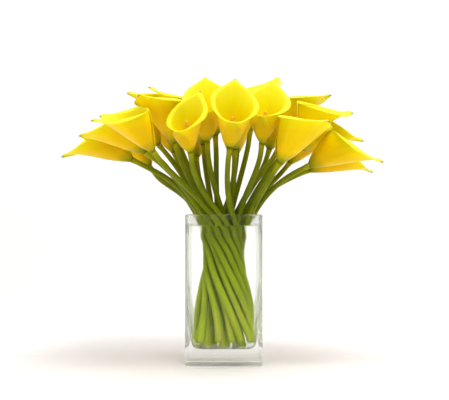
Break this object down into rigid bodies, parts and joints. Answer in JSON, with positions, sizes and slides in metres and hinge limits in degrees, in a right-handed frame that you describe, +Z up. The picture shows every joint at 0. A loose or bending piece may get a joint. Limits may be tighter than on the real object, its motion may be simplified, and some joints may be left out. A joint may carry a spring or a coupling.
{
  "type": "calla lilies in a vase",
  "caption": "Hand-tied spiral bunch of yellow calla lilies standing in water in a tall square clear glass vase, heads fanned into a wide low dome.",
  "frame": {"origin": "centre of the vase's flat underside", "axes": "+Z up, +X to the right seen from the front along the bunch's long spread, -Y towards the front"},
  "size_m": [0.4208, 0.3063, 0.3864],
  "materials": {
    "glass": "gloss",
    "water": "gloss",
    "stalk": "satin",
    "spathe": "satin"
  },
  "bodies": {
    "root": {"vase": "glass", "water": "water", "stem_01": "stalk", "bloom_01": "spathe", "stem_02": "stalk", "bloom_02": "spathe", "stem_03": "stalk", "bloom_03": "spathe", "stem_04": "stalk", "bloom_04": "spathe", "stem_05": "stalk", "bloom_05": "spathe", "stem_06": "stalk", "bloom_06": "spathe", "stem_07": "stalk", "bloom_07": "spathe", "stem_08": "stalk", "bloom_08": "spathe", "stem_09": "stalk", "bloom_09": "spathe", "stem_10": "stalk", "bloom_10": "spathe", "stem_11": "stalk", "bloom_11": "spathe", "stem_12": "stalk", "bloom_12": "spathe", "stem_13": "stalk", "bloom_13": "spathe", "stem_14": "stalk", "bloom_14": "spathe", "stem_15": "stalk", "bloom_15": "spathe", "stem_16": "stalk", "bloom_16": "spathe", "stem_17": "stalk", "bloom_17": "spathe", "stem_18": "stalk", "bloom_18": "spathe", "stem_19": "stalk", "bloom_19": "spathe", "stem_20": "stalk", "bloom_20": "spathe", "stem_21": "stalk", "bloom_21": "spathe", "stem_22": "stalk", "bloom_22": "spathe", "stem_23": "stalk", "bloom_23": "spathe", "stem_24": "stalk", "bloom_24": "spathe", "stem_25": "stalk", "bloom_25": "spathe", "stem_26": "stalk", "bloom_26": "spathe", "stem_27": "stalk", "bloom_27": "spathe", "stem_28": "stalk", "bloom_28": "spathe", "stem_29": "stalk", "bloom_29": "spathe"}
  },
  "joints": []
}
